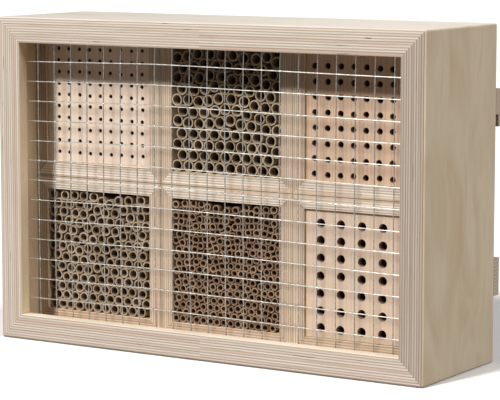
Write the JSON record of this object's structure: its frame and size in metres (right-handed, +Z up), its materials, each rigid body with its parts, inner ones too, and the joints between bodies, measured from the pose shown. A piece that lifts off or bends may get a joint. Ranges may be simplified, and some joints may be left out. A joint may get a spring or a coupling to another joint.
{
  "type": "insect hotel",
  "caption": "Wall-hung wooden insect hotel: a mitred plywood case with a wire guard in front of boxes of drilled wood blocks and stacked tubes.",
  "frame": {"origin": "middle of the underside of the whole object, halfway between the case front and the back of the battens", "axes": "+X along the width to the right as seen from the front, -Y out of the open front, +Y towards the wall, +Z up"},
  "size_m": [0.454, 0.145, 0.306],
  "materials": {
    "case_plywood": "sanded, unfinished",
    "panel_plywood": "sanded, unfinished",
    "batten_wood": "sawn",
    "box_plywood": "sawn edge",
    "block_wood": "planed",
    "tube_board": "matt",
    "galvanised_wire": "galvanised",
    "zinc_screw": "zinc plated"
  },
  "bodies": {
    "root": {"case_top_board": "case_plywood", "case_bottom_board": "case_plywood", "case_left_board": "case_plywood", "case_right_board": "case_plywood", "back_panel": "panel_plywood", "hanging_rail": "batten_wood", "spacer_batten": "batten_wood", "mesh_level_wires": "galvanised_wire", "mesh_upright_wires": "galvanised_wire", "mesh_staples": "galvanised_wire", "lower_left_box_bottom": "box_plywood", "lower_left_box_right": "box_plywood", "lower_left_box_top": "box_plywood", "lower_left_box_left": "box_plywood", "lower_middle_box_bottom": "box_plywood", "lower_middle_box_right": "box_plywood", "lower_middle_box_top": "box_plywood", "lower_middle_box_left": "box_plywood", "lower_right_box_bottom": "box_plywood", "lower_right_box_right": "box_plywood", "lower_right_box_top": "box_plywood", "lower_right_box_left": "box_plywood", "upper_left_box_bottom": "box_plywood", "upper_left_box_right": "box_plywood", "upper_left_box_top": "box_plywood", "upper_left_box_left": "box_plywood", "upper_middle_box_bottom": "box_plywood", "upper_middle_box_right": "box_plywood", "upper_middle_box_top": "box_plywood", "upper_middle_box_left": "box_plywood", "upper_right_box_bottom": "box_plywood", "upper_right_box_right": "box_plywood", "upper_right_box_top": "box_plywood", "upper_right_box_left": "box_plywood", "upper_left_drilled_block": "block_wood", "upper_right_drilled_block": "block_wood", "lower_right_drilled_block": "block_wood", "upper_middle_tubes": "tube_board", "lower_left_tubes": "tube_board", "lower_middle_tubes": "tube_board", "hanging_rail_screws": "zinc_screw", "spacer_batten_screws": "zinc_screw", "box_screws": "zinc_screw"}
  },
  "joints": []
}
